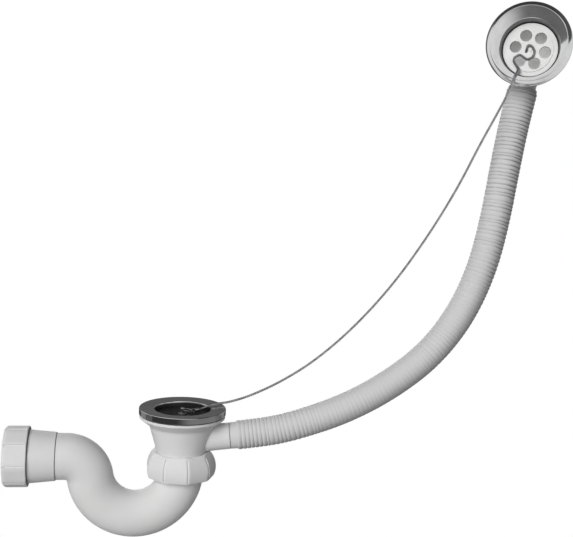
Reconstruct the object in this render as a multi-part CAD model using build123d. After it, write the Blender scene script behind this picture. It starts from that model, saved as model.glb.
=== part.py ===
from build123d import *
import os
from math import asin, cos, degrees, radians, sin, sqrt, tan

# Bath waste with a tubular trap and a chain-and-plug overflow, in millimetres.
# The origin is on the waste's axis, in the plane where the chrome flange sits on the bath floor.
# +Z is up, the outlet points along -X, and the overflow looks towards -Y.

# Clearances shared by the pieces
seat_gap = 0.15            # between two faces that seat on each other
thread_gap = 0.15          # radial gap in a threaded joint
slip_gap = 0.25            # radial gap around a part that slides through a hole
press_gap = 0.05           # radial gap of a pressed or glued joint

# Chrome waste flange
rim_diameter = 75.5
rim_height = 5.2
rim_round = 0.9
rim_land = 2.3             # flat crest between the outer rounding and the dish
recess_diameter = 49.2     # where the dish meets the plug seat
recess_height = 4.2        # height of that edge above the bath floor
seat_diameter = 44.8       # plug seat at the base
seat_depth = 9.5
flange_wall = 1.6
base_thickness = 2.5
drain_hole_diameter = 10.0
drain_hole_circle = 27.0
drain_hole_count = 6
edge_round = 0.5           # small rounding of turned and moulded edges

# Seals between the chrome flange and the body
flange_seal_thickness = 0.8
seal_setback = 1.2         # how far the seal stays inside the rim
body_washer_thickness = 2.0
washer_proud = 0.5         # how far the washer stands out of its pocket
washer_ledge = 2.7         # width of the body's flange outside the pocket

# White waste body
body_flange_diameter = 74.4
body_flange_edge = 2.0     # thickness of the flange at its edge
funnel_diameter = 57.2     # outside, where the flange's sloped underside ends
funnel_depth = 10.2        # depth of that corner below the bath floor
funnel_round = 6.0
neck_diameter = 43.6
neck_depth = 33.0          # depth of the thread's upper end below the bath floor
tail_thread_diameter = 43.0
tail_thread_length = 11.5
tail_bore_diameter = 38.0
funnel_length = 16.0       # height of the tapered inside
boss_diameter = 13.0
boss_depth = 20.0          # depth of the boss's top below the bath floor
boss_height = 14.0
rib_count = 3
rib_thickness = 2.6
rib_height = 10.0
rib_setback = 2.0          # how far a rib's top stays below the boss's top

# Side spigot of the body
spigot_yaw = -5.0
spigot_tilt = 7.0
spigot_reach = 42.3        # level distance from the waste's axis to the hose shoulder
spigot_depth = 18.9        # depth of the spigot's axis at that shoulder
spigot_root_diameter = 23.6
spigot_root_reach = 14.0   # where the tapered outside begins inside the funnel
spigot_bore_reach = 12.0   # where the bore begins inside the funnel

# Hose joint, the same at both ends
shoulder_diameter = 22.8
nipple_diameter = 20.6
nipple_length = 15.0
nipple_bore_diameter = 17.2

# Central screw and its brass insert
screw_diameter = 6.0
screw_head_diameter = 10.6
screw_length = 23.5
screw_socket_width = 3.4
screw_socket_depth = 1.6
insert_diameter = 9.0
insert_length = 12.0

# Plug, its eye and its ring
plug_drop = 0.4            # how far the plug's top lies below the bath floor
plug_height = 7.6
plug_hollow_diameter = 34.0
plug_hollow_depth = 3.4
eye_foot_diameter = 8.0
eye_foot_thickness = 0.8
eye_diameter = 4.0
eye_height = 5.6
eye_hole_height = 3.6
eye_hole_diameter = 2.3
eye_shank_diameter = 3.0
eye_head_diameter = 6.0
eye_head_thickness = 1.0
ring_diameter = 9.0        # to the middle of the wire
ring_wire_diameter = 1.0
ring_tilt = 9.0
plug_chain_yaw = 13.6      # level direction in which the chain leaves the plug

# Trap nut and washer
nut_sides = 9
groove_width = 1.9
groove_depth = 1.0
groove_margin = 1.6        # plain nut left at both ends of a groove
nut_edge = 0.6             # small bevel of a nut's edge
trap_nut_width = 58.6      # across the flats
trap_nut_round = 8.0       # rounding of the corners between the flats
trap_nut_shoulder = [(0.0, 11.2), (4.6, 4.6), (10.0, 0.7)]   # below the top, and how much narrower
trap_nut_heel = [(5.6, 0.0), (0.6, 2.2)]                     # above the end, and how much narrower
trap_nut_gap = 0.5         # between the thread's upper end and the nut
trap_nut_lip = 4.8
trap_nut_hole_gap = 0.9    # radial room for the bend inside the nut's end
trap_nut_turn = 0.0
trap_washer_thickness = 3.0
trap_washer_diameter = 42.6
trap_washer_hole = 36.4

# Trap bend
pipe_diameter = 40.0
pipe_wall = 2.1
collar_diameter = 42.8
collar_thickness = 3.0
inlet_straight = 3.5       # short straight between the collar's top and the U-bend
bend_radius = 39.3
elbow_radius = 21.5
outlet_depth = 39.0        # depth of the outlet's axis below the bath floor
outlet_straight = 7.8      # visible pipe between the elbow and the socket

# Outlet socket
socket_length = 35.4
socket_diameter = 41.6
socket_thread_diameter = 45.6
socket_taper_length = 22.0
socket_pipe_depth = 5.6
socket_stop_width = 2.0
outlet_bore_diameter = 41.0
mouth_diameter = 44.6
mouth_depth = 3.2

# Compression nut, its ring and its slip washer
outlet_seal_gap = 0.2      # between the ring's cone and the socket's mouth
outlet_seal_hole = 41.0
outlet_seal_back = 2.4     # how far the ring stands out of the socket
slip_washer_thickness = 1.2
slip_washer_hole = 41.0
outlet_nut_width = 51.0    # across the flats
outlet_nut_round = 14.0    # rounding of the corners between the flats
outlet_nut_slope = [(2.4, 0.0), (0.9, 1.0), (0.0, 3.0)]   # before the end, and how much narrower
outlet_nut_overlap = 12.4  # length of the nut over the socket
outlet_nut_lip = 4.2
outlet_nut_hole = 41.0
outlet_nut_turn = 37.0

# Overflow head: place and direction
head_x = 290.8
head_y = -1.4
head_z = 332.4
head_yaw = 25.0
head_tilt = 7.0
head_roll = 10.0

# Chrome overflow bezel, depths measured from the underside of its rim
bezel_diameter = 74.2
bezel_height = 6.0
bezel_round = 4.0
bezel_land = 0.4
throat_diameter = 53.0
throat_depth = 10.5
cup_diameter = 48.6
cup_depth = 22.5
bezel_wall = 1.4
bezel_skirt_diameter = 65.6   # outside of the dish, at the rim
bezel_hole_gap = 0.3          # between the bezel's floor and the strainer's skirt

# Seals of the overflow
face_seal_thickness = 1.0
face_seal_setback = 0.6
overflow_washer_thickness = 2.6
overflow_washer_setback = 1.0

# White overflow body
overflow_flange_diameter = 71.6
overflow_flange_thickness = 3.2
bezel_clearance = 0.5
overflow_wall = 2.4
thread_length = 8.0
chamber_diameter = 43.0
chamber_length = 18.4
overflow_spigot_reach = 31.0   # distance from the head's axis to the hose shoulder

# Strainer
strainer_gap = 0.3             # radial gap to the cup's wall
strainer_thickness = 2.6
plateau_diameter = 40.2
plateau_height = 0.7
strainer_boss_diameter = 3.4
strainer_boss_height = 0.6
strainer_hole_diameter = 10.6
strainer_hole_circle = 26.4
strainer_hole_count = 6
skirt_diameter = 41.0
skirt_wall = 1.8
skirt_length = 9.0

# Wire hook on the strainer, in the head's own directions
hook_wire_diameter = 2.1
hook_lift = 0.2                # between the wire and the strainer's face
hook_tail = 8.0                # length of wire behind the strainer's face
hook_bend = 2.1                # rounding where the wire turns out of its hole
hook_hole_gap = 0.4            # radial room around the wire in its hole
hook_route = [
    (-2.97, -2.15), (-2.78, 3.67), (1.36, 2.68), (4.32, -0.86), (4.13, -6.69), (-0.45, -9.53),
    (-3.66, -8.06), (-7.55, -6.11), (-11.94, -10.03), (-11.33, -13.48), (-8.2, -16.6), (-5.3, -18.9)]

# Chain and its two end fittings
chain_diameter = 2.3
chain_end_gap = 0.3
bell_diameter = 3.6
bell_setback = 1.4             # from the wire's last bend to the upper fitting
bell_grip = 1.4                # length of wire inside the upper fitting
loop_diameter = 3.0            # to the middle of the loop's wire
loop_wire_diameter = 0.7
loop_offset = 0.55             # from the ring's wire to the loop's middle
chain_route = [
    (16.5, 4.0, 2.8), (23.3, 5.6, 5.6), (30.4, 7.3, 6.6), (34.6, 8.3, 7.1), (39.0, 8.9, 7.5),
    (46.8, 8.3, 9.7), (59.4, 7.3, 14.2), (84.0, 5.9, 26.2), (114.9, 4.0, 46.6), (149.0, 2.0, 78.3),
    (182.3, 0.0, 118.4), (210.6, -1.6, 162.2), (234.2, -3.1, 205.2), (251.2, -4.2, 243.4),
    (263.6, -4.9, 268.3), (271.4, -5.6, 284.9), (274.2, -7.2, 293.2), (275.2, -8.2, 297.7),
    (277.0, -8.4, 303.4), (280.7, -0.9, 306.3), (284.2, 6.4, 308.1), (287.5, 12.5, 310.1)]

# Corrugated hose
hose_bore_gap = 0.15
start_cuff_diameter = 23.0     # plain end at the waste
start_cuff_length = 6.0
end_cuff_diameter = 26.0       # plain end at the overflow
end_cuff_length = 11.0
lead_length = 30.0             # straight hose along each nipple
hose_start_diameter = 25.2     # over the rings, at the waste
hose_end_diameter = 27.8       # over the rings, at the overflow
ring_pitch = 3.6
hose_sides = 20                # flat sides of the hose's rings
bore_sides = 16
bore_steps = 40
start_groove = 0.8             # depth of the grooves between the rings
middle_groove = 0.35
end_groove = 1.1
hose_route = [
    (101.9, -8.8, -7.2), (143.5, -9.7, 8.0), (182.7, -8.3, 29.6), (218.4, -5.0, 57.1),
    (246.3, 0.6, 92.9), (265.4, 7.8, 133.9), (277.0, 15.9, 177.7), (285.3, 23.4, 222.6)]

# Shape of a bent route
rounding_share = 0.45          # part of the shorter leg that a corner's rounding takes up

# Heights and radii that several pieces share
body_top = -(flange_seal_thickness + washer_proud)
washer_seat = -(flange_seal_thickness + body_washer_thickness)
base_bottom = -(seat_depth + base_thickness)
flange_tail_top = recess_diameter / 2 + flange_wall
flange_tail_end = seat_diameter / 2 + flange_wall
seal_bore = 2 * (flange_tail_top + edge_round + slip_gap)
tail_end = -(neck_depth + tail_thread_length)
collar_top = tail_end - trap_washer_thickness
collar_bottom = collar_top - collar_thickness
nut_top = -(neck_depth + trap_nut_gap)
plug_top = -plug_drop
plug_bottom = plug_top - plug_height
pipe_radius = pipe_diameter / 2
pipe_bore = pipe_radius - pipe_wall
bend_middle = collar_top - inlet_straight
elbow_middle = -(outlet_depth + elbow_radius)
bend_reach = bend_radius + elbow_radius
elbow_x = -bend_radius - sqrt(bend_reach ** 2 - (bend_middle - elbow_middle) ** 2)
socket_x = elbow_x - outlet_straight
seal_back = socket_length + outlet_seal_back
washer_back = seal_back + slip_washer_thickness
outlet_nut_start = socket_length - outlet_nut_overlap
overflow_front = -(face_seal_thickness + overflow_washer_thickness)
overflow_seal_bore = bezel_skirt_diameter + 2 * (edge_round + slip_gap)
bezel_floor = -(cup_depth + bezel_wall)
ledge = bezel_floor - seat_gap
thread_end = ledge - thread_length
chamber_end = thread_end - chamber_length
spigot_level = thread_end - chamber_length / 2
strainer_face = -cup_depth + strainer_thickness
plateau_face = strainer_face + plateau_height
hook_level = plateau_face + hook_lift + hook_wire_diameter / 2


def turned(corners):
    # A turned solid from (radius, height, rounding) corners
    points = [(radius, height) for radius, height, rounding in corners]
    outline = FilletPolyline(points, radius=[corner[2] for corner in corners], close=True)
    return revolve(Plane.XZ * make_face(outline), Axis.Z)


def washer(inner_diameter, outer_diameter, top, thickness):
    ring = Circle(outer_diameter / 2) - Circle(inner_diameter / 2)
    return extrude(Plane.XY.offset(top - thickness) * ring, amount=thickness)


def rod(diameter, start, end):
    # A straight round bar between two points
    along = Vector(*end) - Vector(*start)
    return extrude(Plane(start, z_dir=along) * Circle(diameter / 2), amount=along.length)


def seat_radius(height):
    # Radius of the flange's plug seat at a height
    slope = (recess_diameter - seat_diameter) / 2 / (recess_height + seat_depth)
    return seat_diameter / 2 + slope * (height + seat_depth)


def corner_roundings(points):
    # The largest smooth rounding at each corner of a route
    roundings = []
    for before, corner, after in zip(points, points[1:], points[2:]):
        first = Vector(*corner) - Vector(*before)
        second = Vector(*after) - Vector(*corner)
        half_turn = radians(first.get_angle(second)) / 2
        roundings.append(rounding_share * min(first.length, second.length) / tan(half_turn))
    return roundings


def route_wire(points):
    return FilletPolyline(points, radius=corner_roundings(points))


def tube_along(path, diameter):
    return sweep(Plane(path @ 0, z_dir=path % 0) * Circle(diameter / 2), path=path)


def head_directions():
    # Right, up and outward directions of the overflow head
    yaw = radians(head_yaw)
    tilt = radians(head_tilt)
    outward = Vector(-sin(yaw) * cos(tilt), -cos(yaw) * cos(tilt), sin(tilt))
    level_up = Vector(sin(yaw) * sin(tilt), cos(yaw) * sin(tilt), cos(tilt))
    up = level_up.rotate(Axis((0, 0, 0), outward), -head_roll)
    return up.cross(outward), up, outward


def head_plane():
    right, up, outward = head_directions()
    return Plane((head_x, head_y, head_z), x_dir=right, z_dir=outward)


def head_point(x, y, z):
    return head_plane().from_local_coords(Vector(x, y, z))


def spigot_direction():
    yaw = radians(spigot_yaw)
    tilt = radians(spigot_tilt)
    return Vector(cos(yaw) * cos(tilt), sin(yaw) * cos(tilt), sin(tilt))


def spigot_point(reach):
    # Point of the waste spigot's axis at a level distance from the waste's axis
    along = spigot_direction()
    shoulder = Vector(along.X, along.Y, 0).normalized() * spigot_reach - Vector(0, 0, spigot_depth)
    return shoulder + along * ((reach - spigot_reach) / cos(radians(spigot_tilt)))


def waste_flange():
    rim = rim_diameter / 2
    crest = rim - rim_round - rim_land
    flange = turned([
        (0, base_bottom, 0), (flange_tail_end, base_bottom, edge_round),
        (flange_tail_top, 0, edge_round), (rim, 0, 0), (rim, rim_height, rim_round),
        (crest, rim_height, edge_round),
        (recess_diameter / 2, recess_height, edge_round), (seat_diameter / 2, -seat_depth, edge_round),
        (0, -seat_depth, 0)])
    for place in PolarLocations(drain_hole_circle / 2, drain_hole_count):
        flange -= place * Pos(Z=-seat_depth - base_thickness) * Cylinder(
            drain_hole_diameter / 2, 3 * base_thickness)
    return flange - countersink(seat_gap)


def countersink(gap):
    # The screw's head and shank, larger by a gap
    head = screw_head_diameter / 2 + gap
    shank = screw_diameter / 2 + gap
    low = -seat_depth - screw_length
    return turned([
        (0, low, 0), (shank, low, 0), (shank, -seat_depth - head + shank, 0), (head, -seat_depth, 0),
        (0, -seat_depth, 0)])


def flange_seal():
    outer = rim_diameter - 2 * seal_setback
    return washer(seal_bore, outer, 0, flange_seal_thickness)


def body_washer():
    outer = body_flange_diameter - 2 * washer_ledge - 2 * slip_gap
    return washer(seal_bore, outer, -flange_seal_thickness, body_washer_thickness)


def spigot_outside():
    start = spigot_point(spigot_root_reach)
    shoulder = spigot_point(spigot_reach)
    end = shoulder + spigot_direction() * nipple_length
    root = Plane(start, z_dir=spigot_direction()) * Circle(spigot_root_diameter / 2)
    tip = Plane(shoulder, z_dir=spigot_direction()) * Circle(shoulder_diameter / 2)
    return loft([root, tip]) + rod(nipple_diameter, shoulder, end)


def waste_body():
    flange = body_flange_diameter / 2
    flange_bottom = body_top - body_flange_edge
    neck = neck_diameter / 2
    thread = tail_thread_diameter / 2
    bore = tail_bore_diameter / 2
    pocket = flange - washer_ledge
    inside_top = flange_tail_top + 2 * slip_gap
    inside_low = flange_tail_end + 2 * slip_gap
    funnel_end = base_bottom - funnel_length
    outside = turned([
        (0, body_top, 0), (flange, body_top, edge_round), (flange, flange_bottom, edge_round),
        (funnel_diameter / 2, -funnel_depth, funnel_round), (neck, -neck_depth, 0),
        (thread, -neck_depth, 0), (thread, tail_end, edge_round), (0, tail_end, 0)])
    inside = turned([
        (0, body_top, 0), (pocket, body_top, 0), (pocket, washer_seat, 0),
        (inside_top, washer_seat, edge_round), (inside_low, base_bottom, 0), (bore, funnel_end, 0),
        (bore, tail_end, 0), (0, tail_end, 0)])
    body = outside + spigot_outside() - inside
    nipple_end = spigot_point(spigot_reach) + spigot_direction() * nipple_length
    body -= rod(nipple_bore_diameter, spigot_point(spigot_bore_reach), nipple_end)
    boss = Pos(Z=-boss_depth - boss_height / 2) * Cylinder(boss_diameter / 2, boss_height)
    rib_length = (bore + neck) / 2
    rib = Pos(rib_length / 2, 0, -boss_depth - rib_setback - rib_height / 2) * Box(
        rib_length, rib_thickness, rib_height)
    for place in PolarLocations(0, rib_count, start_angle=180 / rib_count):
        boss += place * rib
    seat = Pos(Z=-boss_depth - boss_height / 2) * Cylinder(insert_diameter / 2 + press_gap, boss_height)
    return body + (boss - seat)


def waste_screw():
    socket = Plane.XY.offset(-seat_depth) * RegularPolygon(screw_socket_width / 2, 6)
    return countersink(0) - extrude(socket, amount=-screw_socket_depth)


def screw_insert():
    return washer(screw_diameter + 2 * thread_gap, insert_diameter, -boss_depth, insert_length)


def plug():
    top = seat_radius(plug_top) - seat_gap
    bottom = seat_radius(plug_bottom) - seat_gap
    hollow_top = plug_bottom + plug_hollow_depth
    body = turned([
        (0, plug_top, 0), (top, plug_top, edge_round), (bottom, plug_bottom, edge_round),
        (plug_hollow_diameter / 2, plug_bottom, edge_round),
        (plug_hollow_diameter / 2, hollow_top, edge_round), (0, hollow_top, 0)])
    return body - rod(eye_shank_diameter + 2 * press_gap, (0, 0, plug_bottom), (0, 0, plug_top))


def plug_eye():
    post_top = plug_top + eye_height
    under = plug_bottom + plug_hollow_depth
    foot_top = plug_top + eye_foot_thickness
    post = eye_diameter / 2
    shank = eye_shank_diameter / 2
    eye = turned([
        (0, under - eye_head_thickness, 0),
        (eye_head_diameter / 2, under - eye_head_thickness, edge_round),
        (eye_head_diameter / 2, under, 0), (shank, under, 0), (shank, plug_top, 0),
        (eye_foot_diameter / 2, plug_top, 0), (eye_foot_diameter / 2, foot_top, edge_round / 2),
        (post, foot_top, 0), (post, post_top, post / 2), (0, post_top, 0)])
    hole = Rot(X=90) * Cylinder(eye_hole_diameter / 2, eye_foot_diameter)
    hole = Pos(Z=plug_top + eye_hole_height) * hole
    return Rot(Z=plug_chain_yaw) * (eye - hole)


def ring_far_point():
    # The side of the plug's ring that the chain pulls on
    reach = ring_diameter * cos(radians(ring_tilt))
    drop = ring_diameter * sin(radians(ring_tilt))
    yaw = radians(plug_chain_yaw)
    return Vector(reach * cos(yaw), reach * sin(yaw), plug_top + eye_hole_height - drop)


def plug_ring():
    ring = Pos(X=ring_diameter / 2) * Torus(ring_diameter / 2, ring_wire_diameter / 2)
    return Rot(Z=plug_chain_yaw) * Pos(Z=plug_top + eye_hole_height) * Rot(Y=ring_tilt) * ring


def nut_outside(bands, rounding, inset):
    # A flat-sided solid through bands of (height, width across the flats) stations
    solid = Part()
    for band in bands:
        sections = []
        for height, width in band:
            flats = RegularPolygon(width / 2 - inset, nut_sides, major_radius=False)
            sections.append(Plane.XY.offset(height) * fillet(flats.vertices(), rounding))
        solid += loft(sections)
    return solid


def faceted_nut(bands, rounding, thread_depth, thread_diameter, hole_diameter):
    # A nut with its open end at height 0, flat sides and a groove along each corner
    length = bands[-1][-1][0]
    reach = max(width for band in bands for height, width in band) / 2
    groove = Pos(reach, 0, length / 2) * Box(reach / 2, groove_width, length - 2 * groove_margin)
    cutter = Part() + [place * groove for place in PolarLocations(0, nut_sides)]
    cutter -= nut_outside(bands, rounding, groove_depth)
    nut = nut_outside(bands, rounding, 0) - cutter
    nut -= rod(thread_diameter, (0, 0, 0), (0, 0, thread_depth))
    return nut - rod(hole_diameter, (0, 0, 0), (0, 0, length))


def trap_nut():
    thread_depth = nut_top - collar_bottom
    length = thread_depth + trap_nut_lip
    width = trap_nut_width
    side = [(depth, width - less) for depth, less in trap_nut_shoulder]
    side += [(length - before, width - less) for before, less in trap_nut_heel]
    end_height, end_width = side[-1]
    bottom = [(end_height, end_width), (length, end_width - 2 * nut_edge)]
    nut = faceted_nut(
        [side, bottom], trap_nut_round, thread_depth, tail_thread_diameter + 2 * thread_gap,
        pipe_diameter + 2 * trap_nut_hole_gap)
    return Pos(Z=nut_top) * Rot(Z=trap_nut_turn) * Rot(X=180) * nut


def trap_washer():
    return washer(trap_washer_hole, trap_washer_diameter, tail_end, trap_washer_thickness)


def bend_path():
    # Middle line of the trap's tube: down, round the U, round the elbow, out along -X
    rise = degrees(asin((bend_middle - elbow_middle) / bend_reach))
    inlet = Line((0, collar_top), (0, bend_middle))
    bend = CenterArc((-bend_radius, bend_middle), bend_radius, 0, rise - 180)
    elbow = CenterArc((elbow_x, elbow_middle), elbow_radius, rise, 90 - rise)
    outlet = Line((elbow_x, -outlet_depth), (socket_x - socket_pipe_depth, -outlet_depth))
    return Plane.XZ * Wire([inlet.edge(), bend.edge(), elbow.edge(), outlet.edge()])


def trap_bend():
    path = bend_path()
    collar = Pos(Z=collar_top - collar_thickness / 2) * Cylinder(collar_diameter / 2, collar_thickness)
    return tube_along(path, pipe_diameter) + collar - tube_along(path, 2 * pipe_bore)


def outlet_plane(distance):
    # Plane across the outlet, at a distance from the socket's inner end, facing out along -X
    return Plane((socket_x - distance, 0, -outlet_depth), x_dir=(0, -1, 0), z_dir=(-1, 0, 0))


def outlet_socket():
    outer = socket_diameter / 2
    thread = socket_thread_diameter / 2
    bore = outlet_bore_diameter / 2
    socket = turned([
        (pipe_radius + press_gap, 0, 0), (outer, 0, edge_round), (thread, socket_taper_length, 0),
        (thread, socket_length, 0), (mouth_diameter / 2, socket_length, 0),
        (bore, socket_length - mouth_depth, 0), (bore, socket_pipe_depth + socket_stop_width, 0),
        (pipe_bore, socket_pipe_depth + socket_stop_width, 0),
        (pipe_bore, socket_pipe_depth + press_gap, 0),
        (pipe_radius + press_gap, socket_pipe_depth + press_gap, 0)])
    return outlet_plane(0) * socket


def outlet_seal():
    slope = (mouth_diameter - outlet_bore_diameter) / 2 / mouth_depth
    inner = outlet_seal_hole / 2
    outer = socket_thread_diameter / 2 - slip_gap
    mouth_start = socket_length - mouth_depth + outlet_seal_gap
    front = mouth_start + (inner - outlet_bore_diameter / 2) / slope
    shoulder = mouth_start + mouth_depth
    cone = mouth_diameter / 2
    seal = turned([
        (inner, front, 0), (cone, shoulder, 0), (outer, shoulder, 0), (outer, seal_back, 0),
        (inner, seal_back, 0)])
    return outlet_plane(0) * seal


def outlet_slip_washer():
    outer = socket_thread_diameter - 2 * slip_gap
    return outlet_plane(0) * washer(slip_washer_hole, outer, washer_back, slip_washer_thickness)


def outlet_nut():
    thread_depth = washer_back - outlet_nut_start
    length = thread_depth + outlet_nut_lip
    width = outlet_nut_width
    stations = [(0, width - 2 * nut_edge), (nut_edge, width)]
    stations += [(length - before, width - less) for before, less in outlet_nut_slope]
    bands = [list(pair) for pair in zip(stations, stations[1:])]
    nut = faceted_nut(
        bands, outlet_nut_round, thread_depth, socket_thread_diameter + 2 * thread_gap, outlet_nut_hole)
    return outlet_plane(outlet_nut_start) * Rot(Z=outlet_nut_turn) * nut


def overflow_bezel():
    rim = bezel_diameter / 2
    throat = throat_diameter / 2
    cup = cup_diameter / 2
    floor_hole = skirt_diameter / 2 + bezel_hole_gap
    bezel = turned([
        (floor_hole, bezel_floor, 0), (cup + bezel_wall, bezel_floor, edge_round),
        (throat + bezel_wall, -throat_depth, edge_round), (bezel_skirt_diameter / 2, 0, edge_round),
        (rim, 0, 0), (rim, bezel_height, bezel_round),
        (rim - bezel_round - bezel_land, bezel_height, edge_round),
        (throat, -throat_depth, edge_round), (cup, -cup_depth, 0), (floor_hole, -cup_depth, 0)])
    return head_plane() * bezel


def overflow_face_seal():
    outer = bezel_diameter - 2 * face_seal_setback
    return head_plane() * washer(overflow_seal_bore, outer, 0, face_seal_thickness)


def overflow_washer():
    outer = overflow_flange_diameter - 2 * overflow_washer_setback
    top = -face_seal_thickness
    return head_plane() * washer(overflow_seal_bore, outer, top, overflow_washer_thickness)


def overflow_body():
    gap = bezel_wall + bezel_clearance
    throat = throat_diameter / 2 + gap
    cup = cup_diameter / 2 + gap
    pocket_slope = (bezel_skirt_diameter / 2 + bezel_clearance - throat) / throat_depth
    pocket = throat + pocket_slope * (throat_depth + overflow_front)
    thread = skirt_diameter / 2 + thread_gap
    chamber = chamber_diameter / 2
    flange = overflow_flange_diameter / 2
    flange_back = overflow_front - overflow_flange_thickness
    back = chamber_end - overflow_wall
    outside = turned([
        (0, overflow_front, 0), (flange, overflow_front, edge_round), (flange, flange_back, edge_round),
        (throat + overflow_wall, flange_back, overflow_wall),
        (throat + overflow_wall, -throat_depth, edge_round),
        (cup + overflow_wall, ledge - overflow_wall, edge_round),
        (chamber + overflow_wall, ledge - overflow_wall, 0),
        (chamber + overflow_wall, back, overflow_wall), (0, back, 0)])
    inside = turned([
        (0, overflow_front, 0), (pocket, overflow_front, 0), (throat, -throat_depth, 0),
        (cup, ledge, 0), (thread, ledge, 0), (thread, thread_end, 0), (chamber, thread_end, 0),
        (chamber, chamber_end, edge_round), (0, chamber_end, 0)])
    shoulder = (0, -overflow_spigot_reach, spigot_level)
    end = (0, -overflow_spigot_reach - nipple_length, spigot_level)
    spigot = rod(shoulder_diameter, (0, 0, spigot_level), shoulder) + rod(nipple_diameter, shoulder, end)
    body = outside + spigot - inside - rod(nipple_bore_diameter, (0, 0, spigot_level), end)
    return head_plane() * body


def overflow_strainer():
    back = -cup_depth
    disc = cup_diameter / 2 - strainer_gap
    skirt = skirt_diameter / 2
    boss = strainer_boss_diameter / 2
    plateau = plateau_diameter / 2
    strainer = turned([
        (0, back, 0), (skirt - skirt_wall, back, 0), (skirt - skirt_wall, back - skirt_length, 0),
        (skirt, back - skirt_length, edge_round), (skirt, back, 0), (disc, back, 0),
        (disc, strainer_face, edge_round), (plateau, strainer_face, 0),
        (plateau, plateau_face, edge_round / 2), (boss, plateau_face, 0),
        (boss, plateau_face + strainer_boss_height, strainer_boss_height / 2),
        (0, plateau_face + strainer_boss_height, 0)])
    for place in PolarLocations(strainer_hole_circle / 2, strainer_hole_count):
        strainer -= place * Pos(Z=back) * Cylinder(strainer_hole_diameter / 2, 3 * strainer_thickness)
    x, y = hook_route[0]
    wire_hole = Pos(x, y, back) * Cylinder(
        hook_wire_diameter / 2 + hook_hole_gap, 3 * strainer_thickness)
    return head_plane() * (strainer - wire_hole)


def hook_points():
    # Route of the hook's wire, ending inside the upper chain fitting
    x, y = hook_route[0]
    points = [head_point(x, y, hook_level - hook_tail)]
    points += [head_point(x, y, hook_level) for x, y in hook_route]
    last = points[-1]
    points.append(last + upper_direction() * (bell_setback + bell_grip))
    return points


def upper_bend():
    x, y = hook_route[-1]
    return head_point(x, y, hook_level)


def upper_direction():
    return (Vector(*chain_route[-1]) - upper_bend()).normalized()


def chain_hook():
    points = hook_points()
    roundings = [hook_bend] + corner_roundings(points)[1:]
    return tube_along(FilletPolyline(points, radius=roundings), hook_wire_diameter)


def bell(length, end_plane):
    # A small bell-shaped fitting that stands on a plane
    radius = bell_diameter / 2
    body = turned([
        (0, 0, 0), (radius, 0, radius / 3), (radius, length / 2, radius / 2),
        (chain_diameter / 2, length, 0), (0, length, 0)])
    return end_plane * body


def chain_end_upper():
    along = upper_direction()
    start = upper_bend() + along * bell_setback
    length = (Vector(*chain_route[-1]) - start).length - chain_end_gap
    wire_end = start + along * (bell_grip + press_gap)
    wire_hole = rod(hook_wire_diameter + 2 * press_gap, start, wire_end)
    return bell(length, Plane(start, z_dir=along)) - wire_hole


def chain_end_lower():
    yaw = radians(plug_chain_yaw)
    level = Vector(cos(yaw), sin(yaw), 0)
    middle = ring_far_point() + level * loop_offset
    along = (Vector(*chain_route[0]) - middle).normalized()
    start = middle + along * (loop_diameter / 2)
    length = (Vector(*chain_route[0]) - start).length - chain_end_gap
    side = level.cross(Vector(0, 0, 1))
    loop = Plane(middle, x_dir=along, z_dir=side) * Torus(loop_diameter / 2, loop_wire_diameter / 2)
    return bell(length, Plane(start, z_dir=along)) + loop


def plug_chain():
    print("chain roundings", [round(value, 2) for value in corner_roundings(chain_route)])
    path = route_wire(chain_route)
    print("chain length", round(path.length, 1))
    return tube_along(path, chain_diameter)


def hose_points():
    # Route of the hose from the waste's shoulder to the overflow's shoulder
    start = spigot_point(spigot_reach)
    end = head_point(0, -overflow_spigot_reach, spigot_level)
    end_direction = head_directions()[1]
    first = start + spigot_direction() * lead_length
    last = end - end_direction * lead_length
    return [start, first] + [Vector(*point) for point in hose_route] + [last, end]


def groove_at(share):
    # Depth of the grooves between the rings: deep at both ends, shallow in the middle
    if share < 0.5:
        return start_groove + (middle_groove - start_groove) * share * 2
    return middle_groove + (end_groove - middle_groove) * (share * 2 - 1)


def hose_profile(length):
    # (distance, radius) stations of the hose's outside
    start_cuff = start_cuff_diameter / 2
    end_cuff = end_cuff_diameter / 2
    ringed = length - start_cuff_length - end_cuff_length
    count = round(ringed / ring_pitch)
    step = ringed / count
    stations = [(0, start_cuff), (start_cuff_length - step / 2, start_cuff)]
    for index in range(count):
        share = (index + 0.5) / count
        crest = (hose_start_diameter + (hose_end_diameter - hose_start_diameter) * share) / 2
        start = start_cuff_length + index * step
        stations.append((start, crest - groove_at(share)))
        stations.append((start + step / 2, crest))
    return stations + [(length - end_cuff_length, end_cuff), (length, end_cuff)]


def hose_section(path, share, radius, sides):
    # A flat-sided ring across the hose, at a share of its length
    along = path % share
    across = Vector(0, 1, 0).cross(along)
    return Plane(path @ share, x_dir=across, z_dir=along) * RegularPolygon(radius, sides)


def overflow_hose():
    path = route_wire(hose_points())
    length = path.length
    print("hose length", round(length, 1))
    rings = [
        hose_section(path, place / length, radius, hose_sides)
        for place, radius in hose_profile(length)]
    bore = (nipple_diameter / 2 + hose_bore_gap) / cos(radians(180 / bore_sides))
    inside = [
        hose_section(path, step / bore_steps, bore, bore_sides)
        for step in range(bore_steps + 1)]
    return loft(rings, ruled=True) - loft(inside, ruled=True)


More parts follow.
